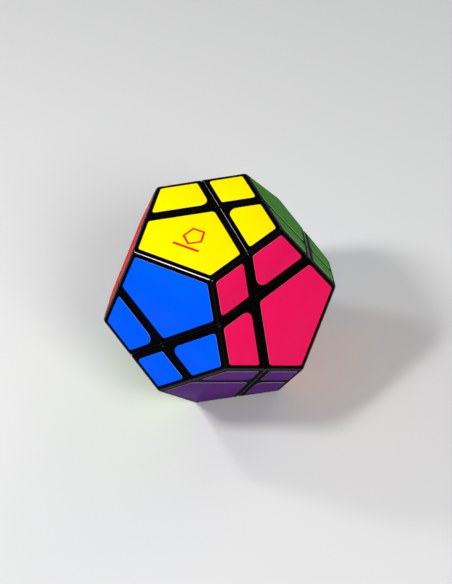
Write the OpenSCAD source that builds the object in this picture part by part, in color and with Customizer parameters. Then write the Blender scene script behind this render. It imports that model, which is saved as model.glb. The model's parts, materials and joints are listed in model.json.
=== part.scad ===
// Deep-cut dodecahedron twisty puzzle.
// Four planes through the centre cut a regular dodecahedron into 4 fixed corners, 4 loose corners
// and 6 edge pieces. The fixed corners are screwed to a core ball on the four turning axes. Feet of
// the loose corners reach under the edge pieces, and feet of the edge pieces under the fixed corners.

/* [Overall] */
// Distance between two opposite faces of the black body
across_flats = 70; // [58:1:90]

/* [Cuts and walls] */
// Gap between neighbouring pieces
cut_gap = 0.3; // [0.2:0.05:0.5]
// Wall of the hollow caps
shell_wall = 1.8; // [1.4:0.1:2.4]
// Wall of the spigot that centres a cap on its base
spigot_wall = 1; // [0.8:0.1:1.3]
// Height of the spigot above the joint between cap and base
spigot_h = 2; // [1:0.1:3]
// Glue gap between the spigot and the inside of the cap
glue_gap = 0.1; // [0.05:0.01:0.2]

/* [Mechanism] */
// Diameter of the core ball
core_d = 29.6; // [24:0.2:36]
// Gap between the core ball and the feet
core_gap = 0.2; // [0.15:0.05:0.4]
// Height of the feet
foot_h = 4.8; // [4:0.1:5.8]
// How far a foot reaches past its cut plane
foot_reach = 2.2; // [1.8:0.1:2.7]
// Floor left under the pocket of a hollow foot
foot_floor = 2.2; // [1.5:0.1:2.8]
// Gap between the feet and the plates above them
layer_gap = 0.3; // [0.2:0.05:0.5]
// Thickness of the plate between the feet and the cap
plate_h = 2.2; // [1.8:0.1:2.8]
// Diameter of the moulded relief pockets in the core ball
relief_d = 9; // [6:0.5:11]
// Depth of the relief pockets
relief_depth = 6; // [4:0.5:8]

/* [Screws and springs] */
// Shank diameter of the screws
screw_d = 3; // [2.5:0.1:3.6]
// Length of the thread inside the core
screw_bite = 10; // [8:0.5:10.5]
// Diameter of the screw head
head_d = 5.6; // [5:0.1:6.8]
// Height of the screw head
head_h = 1.8; // [1.5:0.1:2.2]
// Length of the cross recess
recess_len = 3.4; // [2.8:0.1:3.8]
// Width of the cross recess
recess_w = 0.8; // [0.6:0.1:1]
// Depth of the cross recess
recess_depth = 1.1; // [0.8:0.1:1.3]
// Play of the shank in the corner's bore
bore_gap = 0.2; // [0.15:0.05:0.3]
// Play of the thread in the core
thread_gap = 0.05; // [0.02:0.01:0.1]
// Floor under the spring
seat_floor = 1.5; // [1.2:0.1:2]
// Height of the space between the spring's seat and the washer
spring_len = 6; // [5:0.1:7.2]
// Wire diameter of the spring
wire_d = 0.6; // [0.5:0.05:0.75]
// Play between the spring and the shank
spring_gap = 0.4; // [0.3:0.05:0.6]
// Gap between the closed turns at the spring's ends
coil_gap = 0.05; // [0.02:0.01:0.1]
// Turns of the spring
spring_turns = 5; // [4:1:7]
// Thickness of the washer
washer_h = 0.5; // [0.4:0.05:0.8]
// Play between spring and washer, and around the head in its tube
tube_gap = 0.3; // [0.2:0.05:0.5]
// Wall of the tube around the spring
tube_wall = 1.3; // [1:0.1:1.8]

/* [Labels] */
// Thickness of the labels
label_t = 0.2; // [0.1:0.05:0.4]
// Distance from a label to an edge of the dodecahedron
label_edge = 1.75; // [1:0.05:2.5]
// Distance from a label to the middle of a cut
label_cut = 2; // [1:0.05:3]

/* [Hidden] */
$fn = 96;
phi = (1 + sqrt(5)) / 2;
face_r = across_flats / 2;
unit = face_r * sqrt(1 + phi * phi) / (phi * phi);
edge_len = 2 * unit / phi;
face_apothem = edge_len / (2 * tan(36));
face_tilt = atan(1 / phi);
cut_tilt = acos((phi - 1) / sqrt(3 * (1 + phi * phi)));
far = 2 * across_flats;

core_r = core_d / 2;
foot_r = core_r + core_gap;
foot_top = foot_r + foot_h;
plate_r = foot_top + layer_gap;
seam_r = plate_r + plate_h;
spigot_top = seam_r + spigot_h;
half_gap = cut_gap / 2;
spigot_in = half_gap + shell_wall + glue_gap;

bore_r = screw_d / 2 + bore_gap;
seat = plate_r + seat_floor;
spring_r = screw_d / 2 + spring_gap + wire_d / 2;
washer_r = spring_r + wire_d;
tube_r = max(head_d / 2, washer_r) + tube_gap;
washer_z = seat + spring_len;
head_z = washer_z + washer_h;
ring_sides = 6;
rings_per_turn = 12;

// A piece has a label on a face whose normal reaches this far along the middle of the piece.
corner_reach = 1.4;
edge_reach = 0.9;

// The four turning axes, and the half turns that carry the first axis to each of them.
AXES = [[1, 1, 1], [1, -1, -1], [-1, 1, -1], [-1, -1, 1]];
FLIPS = [[0, 0, 0], [180, 0, 0], [0, 180, 0], [0, 0, 180]];

// An edge or a loose corner is named by the axes on whose side it lies.
EDGES = [[1, 2], [1, 3], [1, 4], [2, 3], [2, 4], [3, 4]];
LOOSE = [[1, 2, 3], [1, 2, 4], [1, 3, 4], [2, 3, 4]];

// Label colours: for each half turn, the faces that three thirds of a turn about the first axis give.
COLOURS = [
    ["#0a5cf0", "#5d2a8c", "#ee1c62"],
    ["#f4f4f0", "#8fd13c", "#8a8f94"],
    ["#7cc8f0", "#2f7d32", "#f07a1e"],
    ["#fff200", "#e9d9a6", "#d4152c"]
];

function side(axes, i) = len(search(i + 1, axes)) > 0 ? 1 : -1;
function middle(axes) = [for (k = [0 : 2]) sum([for (i = axes) AXES[i - 1][k]])];
function sum(v, i = 0) = i < len(v) ? v[i] + sum(v, i + 1) : 0;
function cycle(v, k) = k == 0 ? v : cycle([v[2], v[0], v[1]], k - 1);
function flip(v, f) = f == 0 ? v : [for (k = [0 : 2]) k == f - 1 ? v[k] : -v[k]];
function face_normal(f, k) = flip(cycle([1, 0, phi], k), f);

// The puzzle is drawn about its centre on the axes of a cube, and set down on one face here.
module place() {
    translate([0, 0, face_r + label_t]) rotate([0, 0, -90]) rotate([0, face_tilt, 0]) children();
}

// Turns Z to a direction.
module along(v) {
    rotate([0, acos(v[2] / norm(v)), atan2(v[1], v[0])]) children();
}

module on_axis(i) {
    along(AXES[i - 1]) children();
}

module dodecahedron(width) {
    intersection_for (s = [1, -1], k = [0 : 2])
        along(cycle([s, 0, phi], k)) cube([far, far, width], center = true);
}

// The space of a piece between the cuts: shift moves every cut against its axis, and inset is kept
// clear of it on the piece's own side.
module cell(axes, shift, inset) {
    intersection_for (i = [0 : 3])
        along(AXES[i])
            translate([-far / 2, -far / 2, side(axes, i) > 0 ? inset - shift : -inset - shift - far])
                cube(far);
}

module ball_layer(inner, outer) {
    difference() {
        sphere(r = outer);
        sphere(r = inner);
    }
}

// Foot, neck and plate of a piece, and the spigot that its cap fits over.
module base_body(axes) {
    intersection() {
        cell(axes, foot_reach, half_gap);
        ball_layer(foot_r, foot_top);
    }
    intersection() {
        cell(axes, foot_reach, half_gap);
        cell(axes, 0, half_gap);
        ball_layer(foot_top - layer_gap, plate_r + layer_gap);
    }
    intersection() {
        cell(axes, 0, half_gap);
        ball_layer(plate_r, seam_r);
    }
    intersection() {
        cell(axes, 0, spigot_in);
        ball_layer(seam_r - glue_gap, spigot_top);
    }
}

module hollow_base(axes) {
    color("#2a2c2e") place() difference() {
        base_body(axes);
        difference() {
            cell(axes, 0, spigot_in + spigot_wall);
            sphere(r = foot_r + foot_floor);
        }
    }
}

module cap(axes) {
    color("#101112") place() difference() {
        intersection() {
            cell(axes, 0, half_gap);
            dodecahedron(across_flats);
        }
        intersection() {
            cell(axes, 0, half_gap + shell_wall);
            dodecahedron(across_flats - 2 * shell_wall);
        }
        sphere(r = seam_r);
    }
}

module labels(axes, reach) {
    place() for (f = [0 : 3], k = [0 : 2])
        if (face_normal(f, k) * middle(axes) / norm(middle(axes)) > reach)
            color(COLOURS[f][k]) intersection() {
                rotate(FLIPS[f]) rotate(a = 120 * k, v = [1, 1, 1]) along([1, 0, phi])
                    translate([0, 0, face_r])
                        cylinder(h = label_t, r = (face_apothem - label_edge) / cos(36), $fn = 5);
                cell(axes, 0, label_cut * sin(cut_tilt));
            }
}

// The base of a fixed corner carries a tube for spring and screw head, and is bored for the shank.
module corner_base(i) {
    color("#2a2c2e") place() difference() {
        union() {
            base_body([i]);
            on_axis(i) translate([0, 0, seat]) cylinder(h = spring_len, r = tube_r + tube_wall);
        }
        on_axis(i) {
            translate([0, 0, core_r / 2]) cylinder(h = core_r, r = bore_r);
            translate([0, 0, seat]) cylinder(h = far, r = tube_r);
        }
    }
}

module core() {
    color("#d9d9d4") place() difference() {
        sphere(r = core_r);
        for (i = [1 : 4]) on_axis(i) {
            translate([0, 0, core_r - screw_bite]) cylinder(h = core_r, r = screw_d / 2 + thread_gap);
            translate([0, 0, -core_r - relief_depth]) cylinder(h = 2 * relief_depth, r = relief_d / 2);
        }
    }
}

module screw(i) {
    color("#b9bcc0") place() on_axis(i) difference() {
        union() {
            translate([0, 0, core_r - screw_bite])
                cylinder(h = head_z - core_r + screw_bite, r = screw_d / 2);
            translate([0, 0, head_z]) cylinder(h = head_h, r = head_d / 2);
        }
        for (a = [0, 90]) rotate([0, 0, a])
            translate([0, 0, head_z + head_h])
                cube([recess_len, recess_w, 2 * recess_depth], center = true);
    }
}

module washer(i) {
    color("#c9ccd0") place() on_axis(i) translate([0, 0, washer_z]) difference() {
        cylinder(h = washer_h, r = washer_r);
        translate([0, 0, -washer_h]) cylinder(h = 3 * washer_h, r = bore_r);
    }
}

// Height of the wire's centre after t turns: the first and last turns are closed.
function wire_z(t) = let (closed = wire_d + coil_gap, open = spring_turns - 2,
        pitch = (spring_len - tube_gap - wire_d - 2 * closed) / open)
    wire_d / 2 + closed * (min(t, 1) + max(t - open - 1, 0)) + pitch * min(max(t - 1, 0), open);
function wire_ring(t) = [for (k = [0 : ring_sides - 1]) let (
        a = 360 * k / ring_sides, r = spring_r + wire_d / 2 * cos(a))
    [r * cos(360 * t), r * sin(360 * t), wire_z(t) + wire_d / 2 * sin(a)]];

module spring(i) {
    rings = spring_turns * rings_per_turn;
    points = [for (n = [0 : rings]) each wire_ring(n / rings_per_turn)];
    last = rings * ring_sides;
    sides = [for (n = [0 : rings - 1], k = [0 : ring_sides - 1]) let (
            a = n * ring_sides + k, b = n * ring_sides + (k + 1) % ring_sides)
        [a, b, b + ring_sides, a + ring_sides]];
    ends = [[for (k = [ring_sides - 1 : -1 : 0]) k], [for (k = [0 : ring_sides - 1]) last + k]];
    color("#a9adb2") place() on_axis(i) translate([0, 0, seat])
        polyhedron(points, concat(sides, ends), convexity = 6);
}

core();
for (i = [1 : 4]) {
    screw(i);
    spring(i);
    washer(i);
    corner_base(i);
    cap([i]);
    labels([i], corner_reach);
}
for (e = EDGES) {
    tag = str(e[0], e[1]);
    hollow_base(e);
    cap(e);
    labels(e, edge_reach);
}
for (e = LOOSE) {
    tag = str(e[0], e[1], e[2]);
    hollow_base(e);
    cap(e);
    labels(e, corner_reach);
}
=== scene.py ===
import json, math
import bpy
from mathutils import Matrix, Quaternion, Vector


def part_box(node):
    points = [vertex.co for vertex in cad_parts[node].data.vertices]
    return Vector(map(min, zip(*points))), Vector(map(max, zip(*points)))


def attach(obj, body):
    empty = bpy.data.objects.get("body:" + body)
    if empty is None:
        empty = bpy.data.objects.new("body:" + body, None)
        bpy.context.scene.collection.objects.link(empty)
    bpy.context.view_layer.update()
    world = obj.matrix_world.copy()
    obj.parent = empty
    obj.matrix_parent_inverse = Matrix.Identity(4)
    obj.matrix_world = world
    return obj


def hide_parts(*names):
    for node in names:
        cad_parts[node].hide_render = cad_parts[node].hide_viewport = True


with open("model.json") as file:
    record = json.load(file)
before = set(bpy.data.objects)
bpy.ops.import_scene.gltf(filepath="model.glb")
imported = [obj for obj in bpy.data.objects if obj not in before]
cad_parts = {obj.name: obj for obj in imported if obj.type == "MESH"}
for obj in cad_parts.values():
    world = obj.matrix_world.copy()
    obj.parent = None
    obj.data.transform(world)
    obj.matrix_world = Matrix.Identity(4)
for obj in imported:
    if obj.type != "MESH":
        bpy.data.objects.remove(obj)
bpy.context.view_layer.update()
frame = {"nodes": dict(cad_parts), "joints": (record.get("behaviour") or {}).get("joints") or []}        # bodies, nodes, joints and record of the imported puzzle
print("frame loaded:", len(frame["nodes"]), "nodes")

# what the frame says: the middle, the four turning axes, the face distance and the gaps
twistJoints = [j for j in frame["joints"] if j["name"].startswith("twist_")]
axes = {j["name"][-1]: Vector(j["axis"]).normalized() for j in twistJoints}
centre = Vector(twistJoints[0]["pos_m"])
capPoints = [v.co - centre for v in frame["nodes"]["edge_cap_14"].data.vertices]
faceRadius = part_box("edge_cap_14")[1].z - centre.z
seamRadius = min(p.length for p in capPoints)
halfGap = min(p.dot(axes["1"]) for p in capPoints)
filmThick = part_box("edge_labels_14")[1].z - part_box("edge_cap_14")[1].z

# a regular dodecahedron, by the three axes of the cube that its turning axes are diagonals of
golden = (1 + math.sqrt(5)) / 2
cubeAxes = [(axes["1"] + axes[n]).normalized() for n in "234"]
halfTurns = [Matrix.Identity(3)] + [Matrix.Rotation(math.pi, 3, a) for a in cubeAxes]
thirdTurns = [Matrix.Rotation(2 * math.pi * k / 3, 3, axes["1"]) for k in range(3)]
firstNormal = (cubeAxes[0] + golden * cubeAxes[2]).normalized()
turns = [h @ t for h in halfTurns for t in thirdTurns]
faceNormals = [turn @ firstNormal for turn in turns]
# one normal of each pair of opposite faces
facePairs = [n for i, n in enumerate(faceNormals) if all(n.dot(m) > -0.9 for m in faceNormals[:i])]
faceColours = [
    "blue", "purple", "pink",
    "white", "lime", "grey",
    "sky", "green", "orange",
    "yellow", "cream", "red",
]
apothem = faceRadius * math.tan(math.acos(1 / math.sqrt(5)) / 2)
pieceKinds = {1: "corner", 2: "edge", 3: "loose"}


def axesAt(point):
    return "".join(n for n in "1234" if axes[n].dot(point) > 0)


def bodyAt(point):
    return pieceKinds[len(axesAt(point))] + "_" + axesAt(point)


def middleOf(names):
    return sum((axes[n] for n in names), Vector()).normalized()


def inPlane(vector, normal):
    return (vector - vector.dot(normal) * normal).normalized()


# ---- modelling helpers
def deselectAll():
    if bpy.context.mode != "OBJECT":
        bpy.ops.object.mode_set(mode="OBJECT")
    bpy.ops.object.select_all(action="DESELECT")


def makeActive(piece):
    deselectAll()
    piece.select_set(True)
    bpy.context.view_layer.objects.active = piece


def cutAway(point, normal, fill=True):
    bpy.ops.mesh.select_all(action="SELECT")
    bpy.ops.mesh.bisect(plane_co=point, plane_no=normal, use_fill=fill, clear_outer=True)


def applyModifier(piece, kind, **settings):
    makeActive(piece)
    modifier = piece.modifiers.new(kind.title(), kind)
    for key, value in settings.items():
        setattr(modifier, key, value)
    bpy.ops.object.modifier_apply(modifier=modifier.name)


def turnedCopy(master, name, turn):
    piece = master.copy()
    piece.data = master.data.copy()
    piece.name = piece.data.name = name
    place = Matrix.Translation(centre)
    piece.data.transform(place @ turn.to_4x4() @ place.inverted())
    bpy.context.scene.collection.objects.link(piece)
    return piece


# ---- shader maths: a wire holds one socket, and expressions on wires add their Math nodes
class Wire:
    def __init__(self, sheet, socket):
        self.sheet, self.socket = sheet, socket

    def maths(self, operation, *values):
        return self.sheet.node("ShaderNodeMath", {"operation": operation}, *values)

    def __add__(self, other):
        return self.maths("ADD", self, other)

    def __radd__(self, other):
        return self.maths("ADD", other, self)

    def __sub__(self, other):
        return self.maths("SUBTRACT", self, other)

    def __rsub__(self, other):
        return self.maths("SUBTRACT", other, self)

    def __mul__(self, other):
        return self.maths("MULTIPLY", self, other)

    def __rmul__(self, other):
        return self.maths("MULTIPLY", other, self)

    def over(self, limit):
        return self.maths("GREATER_THAN", self, limit)

    def under(self, limit):
        return self.maths("LESS_THAN", self, limit)

    def between(self, low, high):
        return self.sheet.node(
            "ShaderNodeMapRange", {"clamp": True, "interpolation_type": "SMOOTHSTEP"},
            **{"Value": self, "From Min": low, "From Max": high, "To Min": 0.0, "To Max": 1.0},
        )


class Sheet:
    def __init__(self, name):
        self.material = bpy.data.materials.new(name)
        self.material.use_nodes = True
        self.tree = self.material.node_tree
        self.shader = self.tree.nodes["Principled BSDF"]
        coords = self.tree.nodes.new("ShaderNodeTexCoord")
        self.place = Wire(self, coords.outputs["Object"])

    def feed(self, socket, value):
        if isinstance(value, Wire):
            self.tree.links.new(value.socket, socket)
        else:
            socket.default_value = value

    def node(self, kind, settings, *values, out=0, **named):
        made = self.tree.nodes.new(kind)
        for key, value in settings.items():
            setattr(made, key, value)
        for index, value in enumerate(values):
            self.feed(made.inputs[index], value)
        for key, value in named.items():
            self.feed(made.inputs[key], value)
        return Wire(self, made.outputs[out])

    def dot(self, direction):
        return self.node(
            "ShaderNodeVectorMath", {"operation": "DOT_PRODUCT"}, self.place, direction, out="Value",
        )

    def noise(self, scale, detail=3.0, roughness=0.5):
        return self.node(
            "ShaderNodeTexNoise", {},
            **{"Vector": self.place, "Scale": scale, "Detail": detail, "Roughness": roughness},
        )

    def mix(self, share, first, second):
        made = self.tree.nodes.new("ShaderNodeMix")
        made.data_type = "RGBA"
        self.feed(made.inputs["Factor"], share)
        self.feed(made.inputs[6], first)
        self.feed(made.inputs[7], second)
        return Wire(self, made.outputs[2])

    def bump(self, height, strength, distance):
        return self.node(
            "ShaderNodeBump", {},
            **{"Height": height, "Strength": strength, "Distance": distance},
        )

    def finish(self, **sockets):
        for name, value in sockets.items():
            self.feed(self.shader.inputs[name.replace("_", " ")], value)
        return self.material


# ---- finishes
shellLook = {
    "base": (0.0009, 0.0009, 0.001, 1), "worn": (0.0018, 0.0018, 0.002, 1), "gloss": 0.3,
    "flatCoat": 0.06, "edgeCoat": 0.5, "coatGloss": 0.1,
    "edgeStart": 0.00002, "edgeFull": 0.00012,    # how far a rounded edge lies below the faces
}


def blackShell():
    s = Sheet("blackShell")
    smudge = s.noise(140, 4.0, 0.6).between(0.42, 0.7)
    grain = s.noise(2600, 2.0)
    height = None
    for normal in facePairs:
        along = s.dot(normal) - centre.dot(normal)
        along = along.maths("ABSOLUTE", along)
        height = along if height is None else height.maths("MAXIMUM", height, along)
    edge = 1 - height.between(faceRadius - shellLook["edgeFull"], faceRadius - shellLook["edgeStart"])
    return s.finish(
        Base_Color=s.mix(smudge * 0.5, shellLook["base"], shellLook["worn"]),
        Roughness=shellLook["gloss"] + 0.16 * smudge,
        Coat_Weight=shellLook["flatCoat"] * (1 - 0.4 * smudge) + shellLook["edgeCoat"] * edge,
        Coat_Roughness=shellLook["coatGloss"],
        Normal=s.bump(grain, 0.12, 0.00004),
        Specular_IOR_Level=0.0,
    )


def mouldedPlastic(name, base, shade, gloss):
    s = Sheet(name)
    flow = s.noise(90, 4.0, 0.6).between(0.3, 0.75)
    grain = s.noise(1800, 3.0, 0.6)
    return s.finish(
        Base_Color=s.mix(flow, base, shade),
        Roughness=gloss + 0.2 * grain,
        Normal=s.bump(grain, 0.25, 0.00006),
        Specular_IOR_Level=0.4,
    )


def platedSteel(name, base, shade, gloss):
    s = Sheet(name)
    spots = s.noise(900, 5.0, 0.65).between(0.35, 0.7)
    lines = s.noise(5200, 1.0)
    return s.finish(
        Base_Color=s.mix(spots, base, shade),
        Metallic=1.0,
        Roughness=gloss + 0.18 * spots,
        Normal=s.bump(lines, 0.2, 0.00002),
    )


# vinyl film, printed colour on top and paler where it is cut
filmLook = {
    "shade": 0.92, "gloss": 0.3, "coat": 0.09, "paleEdge": 0.35, "edgeDepth": 0.00005,
    "coatGloss": 0.12,
}
# a plain mark printed on one film: a pentagon outline over a short bar
markLook = {
    "colour": "yellow", "toward": "blue", "ink": (0.7, 0.012, 0.01, 1),
    "away": 0.0072, "reach": 0.0034, "line": 0.0008,
    "barAway": 0.0125, "barLong": 0.0052, "barHigh": 0.001,
}


def printMark(s, tint, normal):
    toward = inPlane(faceNormals[faceColours.index(markLook["toward"])], normal)
    across = toward.cross(normal)
    x = s.dot(across)
    y = s.dot(toward) - centre.dot(toward)
    reach = None
    for k in range(5):
        turn = 2 * math.pi * k / 5
        ray = x * math.sin(turn) - (y - markLook["away"]) * math.cos(turn)
        reach = ray if reach is None else reach.maths("MAXIMUM", reach, ray)
    ring = reach.under(markLook["reach"]) * reach.over(markLook["reach"] - markLook["line"])
    fromBar = y - markLook["barAway"]
    bar = fromBar.maths("ABSOLUTE", fromBar).under(markLook["barHigh"] / 2)
    bar = bar * x.maths("ABSOLUTE", x).under(markLook["barLong"])
    return s.mix(ring + bar, tint, markLook["ink"])


def vinylFilm(name, colour, normal):
    s = Sheet("film" + name.title())
    drift = s.noise(38, 2.0).between(0.3, 0.75)
    speck = s.noise(700, 4.0, 0.7)
    waves = s.noise(160, 2.0)
    height = s.dot(normal) - (centre.dot(normal) + faceRadius)
    cut = 1 - height.between(filmThick - 2 * filmLook["edgeDepth"], filmThick - filmLook["edgeDepth"])
    pale = [c + (1 - c) * filmLook["paleEdge"] for c in colour]
    tint = s.mix(drift, (*colour, 1), (*[c * filmLook["shade"] for c in colour], 1))
    if name == markLook["colour"]:
        tint = printMark(s, tint, normal)
    return s.finish(
        Base_Color=s.mix(cut, tint, (*pale, 1)),
        Roughness=filmLook["gloss"] + 0.1 * speck,
        Normal=s.bump(waves * 0.8 + speck * 0.05, 0.1, 0.0001),
        Coat_Weight=filmLook["coat"] * (0.6 + 0.8 * speck),
        Coat_Roughness=filmLook["coatGloss"],
        Specular_IOR_Level=0.0,
    )


filmTints = {
    "yellow": (1.0, 0.76, 0.0),
    "blue": (0.0, 0.1, 0.97),
    "pink": (0.88, 0.008, 0.105),
    "purple": (0.11, 0.021, 0.21),
    "green": (0.045, 0.24, 0.015),
    "red": (0.68, 0.008, 0.02),
    "white": (0.88, 0.88, 0.86),
    "lime": (0.27, 0.66, 0.03),
    "grey": (0.24, 0.26, 0.28),
    "sky": (0.16, 0.55, 0.9),
    "orange": (0.9, 0.18, 0.01),
    "cream": (0.8, 0.68, 0.36),
}
finishes = {
    "shell": blackShell(),
    "base": mouldedPlastic("basePlastic", (0.012, 0.012, 0.013, 1), (0.02, 0.02, 0.022, 1), 0.4),
    "core": mouldedPlastic("corePlastic", (0.66, 0.65, 0.6, 1), (0.56, 0.55, 0.5, 1), 0.42),
    "screw": platedSteel("screwSteel", (0.62, 0.62, 0.64, 1), (0.5, 0.5, 0.5, 1), 0.22),
    "spring": platedSteel("springSteel", (0.5, 0.5, 0.52, 1), (0.38, 0.38, 0.4, 1), 0.25),
}
films = {name: vinylFilm(name, filmTints[name], n) for name, n in zip(faceColours, faceNormals)}
print("finishes made:", len(finishes) + len(films))


# ---- caps: a block between the cuts, rounded outside and hollow inside
capShape = {
    "wall": 0.0018,
    "ridgeRound": 0.0010,    # set-back of the rounding on the puzzle's own edges
    "rimShare": 0.55,        # of it, where a face meets a cut
    "sideShare": 0.8,        # of it, where two cuts meet
    "segments": 5,
    "weld": 0.000005,
    "smoothAngle": 25,
}


def cutBlock(name, names, gap, radius):
    deselectAll()
    bpy.ops.mesh.primitive_cube_add(size=4 * faceRadius, location=centre)
    block = bpy.context.object
    block.name = name
    bpy.ops.object.transform_apply()
    bpy.ops.object.mode_set(mode="EDIT")
    for n, axis in axes.items():
        inward = axis if n in names else -axis
        cutAway(centre + inward * gap, -inward)
    for normal in faceNormals:
        if normal.dot(middleOf(names)) > 0.2:
            cutAway(centre + normal * radius, normal)
    bpy.ops.mesh.select_all(action="SELECT")
    bpy.ops.mesh.remove_doubles(threshold=capShape["weld"])
    bpy.ops.mesh.normals_make_consistent(inside=False)
    bpy.ops.object.mode_set(mode="OBJECT")
    return block


def isOuter(face):
    return any(face.normal.dot(normal) > 0.999 for normal in faceNormals)


def weighEdges(block):
    mesh = block.data
    shares = mesh.attributes.new("bevel_weight_edge", "FLOAT", "EDGE")
    outer = {}
    for face in mesh.polygons:
        for key in face.edge_keys:
            outer[key] = outer.get(key, 0) + isOuter(face)
    weights = {2: 1.0, 1: capShape["rimShare"], 0: capShape["sideShare"]}
    for edge in mesh.edges:
        shares.data[edge.index].value = weights[outer[edge.key]]


def modelCap(names):
    cap = cutBlock("cap", names, halfGap, faceRadius)
    weighEdges(cap)
    applyModifier(
        cap, "BEVEL", width=capShape["ridgeRound"], segments=capShape["segments"],
        limit_method="WEIGHT", harden_normals=False,
    )
    hollow = cutBlock("hollow", names, halfGap + capShape["wall"], faceRadius - capShape["wall"])
    bpy.ops.mesh.primitive_uv_sphere_add(
        segments=96, ring_count=48, radius=seamRadius, location=centre,
    )
    ball = bpy.context.object
    bpy.ops.object.transform_apply()
    for cutter in (hollow, ball):
        applyModifier(cap, "BOOLEAN", object=cutter, operation="DIFFERENCE", solver="EXACT")
        bpy.data.objects.remove(cutter)
    makeActive(cap)
    bpy.ops.object.shade_smooth_by_angle(angle=math.radians(capShape["smoothAngle"]))
    return cap


made = set()
for names in ("1", "14", "234"):
    master = modelCap(names)
    for turn in turns:
        body = bodyAt(turn @ middleOf(names))
        if body in made:
            continue
        made.add(body)
        cap = turnedCopy(master, body.replace("_", "_shell_"), turn)
        cap.data.materials.clear()
        cap.data.materials.append(finishes["shell"])
        smooth = cap.modifiers.new("evenShading", "WEIGHTED_NORMAL")
        smooth.keep_sharp = True
        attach(cap, body)
        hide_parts(body.replace("_", "_cap_"))
    bpy.data.objects.remove(master)
print("caps made:", len(made))

# ---- labels: the four films of one face, copied to all twelve
filmShape = {
    "edgeInset": 0.00175,    # film to the puzzle's edge
    "cutInset": 0.002,       # film to the middle of a cut
    "cornerRound": 0.0008,
    "lip": 0.00006,
    "segments": 8,
    "smoothAngle": 40,
}
# each film of a face: the axes on whose side it lies there, and the rounding where the cuts cross
filmParts = {
    "big": ("14", 0.0015),
    "kite": ("12", 0.0008),
    "left": ("1", 0.0024),
    "right": ("124", 0.0028),
}


def roundCorners(film, cross, crossRound):
    mesh = film.data
    reaches = mesh.attributes.new("bevel_weight_vert", "FLOAT", "POINT")
    first = min(mesh.vertices, key=lambda v: (v.co - cross).length).index
    for v in mesh.vertices:
        ways = [
            mesh.vertices[a + b - v.index].co - v.co for a, b in mesh.edge_keys if v.index in (a, b)
        ]
        radius = crossRound if v.index == first else filmShape["cornerRound"]
        reaches.data[v.index].value = radius / math.tan(ways[0].angle(ways[1]) / 2) / faceRadius
    applyModifier(
        film, "BEVEL", affect="VERTICES", limit_method="WEIGHT", width=faceRadius,
        segments=filmShape["segments"], use_clamp_overlap=False,
    )


def modelFilm(names, crossRound):
    normal = firstNormal
    spot = centre + normal * faceRadius
    deselectAll()
    bpy.ops.mesh.primitive_plane_add(
        size=4 * apothem, location=spot, rotation=normal.to_track_quat("Z", "Y").to_euler(),
    )
    film = bpy.context.object
    bpy.ops.object.transform_apply()
    bpy.ops.object.mode_set(mode="EDIT")
    for other in faceNormals:
        if 0.1 < other.dot(normal) < 0.9:
            out = inPlane(other, normal)
            cutAway(spot + out * (apothem - filmShape["edgeInset"]), out, fill=False)
    crossing = [n for n in axes if abs(axes[n].dot(normal)) < 0.5]
    for n in crossing:
        out = inPlane(axes[n], normal)
        line = -axes[n].dot(normal) * faceRadius / axes[n].dot(out)
        inward = out if n in names else -out
        cutAway(spot + out * line + inward * filmShape["cutInset"], -inward, fill=False)
    bpy.ops.object.mode_set(mode="OBJECT")
    cross = axes[crossing[0]].cross(axes[crossing[1]])
    roundCorners(film, centre + cross * faceRadius / cross.dot(normal), crossRound)
    bpy.ops.object.mode_set(mode="EDIT")
    bpy.ops.mesh.select_mode(type="FACE")
    bpy.ops.mesh.select_all(action="SELECT")
    bpy.ops.mesh.extrude_region_move(TRANSFORM_OT_translate={"value": normal * filmThick})
    bpy.ops.mesh.region_to_loop()
    bpy.ops.mesh.bevel(offset=filmShape["lip"], segments=2, affect="EDGES")
    bpy.ops.mesh.select_all(action="SELECT")
    bpy.ops.mesh.normals_make_consistent(inside=False)
    bpy.ops.object.mode_set(mode="OBJECT")
    bpy.ops.object.shade_smooth_by_angle(angle=math.radians(filmShape["smoothAngle"]))
    return film


filmCount = 0
for part, (names, crossRound) in filmParts.items():
    master = modelFilm(names, crossRound)
    middle = sum((v.co for v in master.data.vertices), Vector()) / len(master.data.vertices) - centre
    for turn, colour in zip(turns, faceColours):
        body = bodyAt(turn @ middle)
        film = turnedCopy(master, f"label_{colour}_{part}", turn)
        film.data.materials.clear()
        film.data.materials.append(films[colour])
        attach(film, body)
        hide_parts(body.replace("_", "_labels_"))
        filmCount += 1
    bpy.data.objects.remove(master)
print("labels made:", filmCount)

# ---- the CAD nodes that stay: core, bases, screws, springs and washers
nodeFinish = {"core": "core", "screw": "screw", "washer": "screw", "spring": "spring"}
for name, node in frame["nodes"].items():
    finish = "base" if "_base_" in name else nodeFinish.get(name.split("_")[0])
    if finish:
        node.data.materials.clear()
        node.data.materials.append(finishes[finish])

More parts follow.
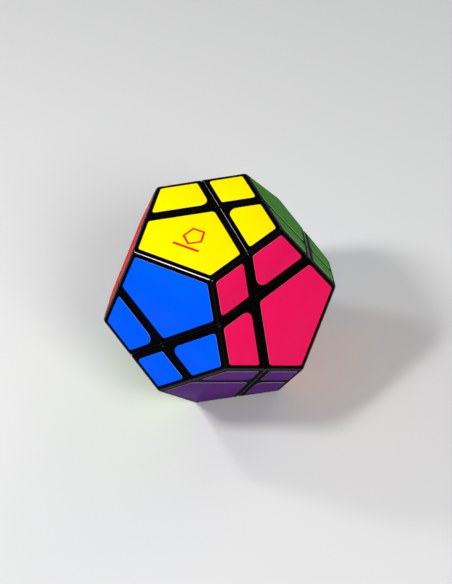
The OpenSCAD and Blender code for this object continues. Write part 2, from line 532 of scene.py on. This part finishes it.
# ---- floor, light and camera
stageLook = {"floor": (0.66, 0.66, 0.655, 1), "size": 6.0, "world": (0.9, 0.94, 1.0, 1), "glow": 0.15}
softboxes = [
    {"name": "key", "toward": (-0.43, -0.43, 0.79), "away": 0.55, "size": 0.09, "power": 1.8},
    {"name": "right", "toward": (0.7, -0.31, 0.64), "away": 0.8, "size": 0.3, "power": 4.0},
    {"name": "left", "toward": (-0.8, 0.03, 0.6), "away": 0.8, "size": 0.1, "power": 1.7},
    {"name": "back", "toward": (0.15, 0.88, 0.45), "away": 1.2, "size": 0.6, "power": 2.2},
]
cameraLook = {
    "azimuth": 40.03, "elevation": 47.64, "roll": -11.5,
    "away": 0.46994, "lens": 80.64, "right": 0.00227, "up": -0.00041,
}


def layFloor():
    deselectAll()
    bpy.ops.mesh.primitive_plane_add(size=stageLook["size"], location=(0, 0, 0))
    floor = bpy.context.object
    floor.name = "floor"
    s = Sheet("paleFloor")
    floor.data.materials.append(
        s.finish(Base_Color=stageLook["floor"], Roughness=0.6, Specular_IOR_Level=0.2)
    )


def hangSoftbox(box):
    light = bpy.data.lights.new(box["name"], "AREA")
    light.size = box["size"]
    light.energy = box["power"]
    lamp = bpy.data.objects.new(box["name"], light)
    toward = Vector(box["toward"]).normalized()
    lamp.location = centre + toward * box["away"]
    lamp.rotation_euler = toward.to_track_quat("Z", "Y").to_euler()
    bpy.context.scene.collection.objects.link(lamp)


def lightWorld():
    world = bpy.data.worlds.new("studio")
    world.use_nodes = True
    background = world.node_tree.nodes["Background"]
    background.inputs["Color"].default_value = stageLook["world"]
    background.inputs["Strength"].default_value = stageLook["glow"]
    bpy.context.scene.world = world


def setCamera():
    azimuth, elevation = math.radians(cameraLook["azimuth"]), math.radians(cameraLook["elevation"])
    level = math.cos(elevation)
    back = Vector((math.sin(azimuth) * level, -math.cos(azimuth) * level, math.sin(elevation)))
    camera = bpy.data.objects.new("camera", bpy.data.cameras.new("camera"))
    camera.data.lens = cameraLook["lens"]
    camera.data.sensor_width = 36
    camera.data.clip_start = 0.01
    camera.rotation_mode = "QUATERNION"
    turn = (-back).to_track_quat("-Z", "Y") @ Quaternion((0, 0, 1), math.radians(cameraLook["roll"]))
    camera.rotation_quaternion = turn
    aside = turn @ Vector((cameraLook["right"], cameraLook["up"], 0))
    camera.location = centre + aside + back * cameraLook["away"]
    bpy.context.scene.collection.objects.link(camera)
    bpy.context.scene.camera = camera


layFloor()
for box in softboxes:
    hangSoftbox(box)
lightWorld()
setCamera()
bpy.context.scene.view_settings.view_transform = "Standard"
print("stage set")
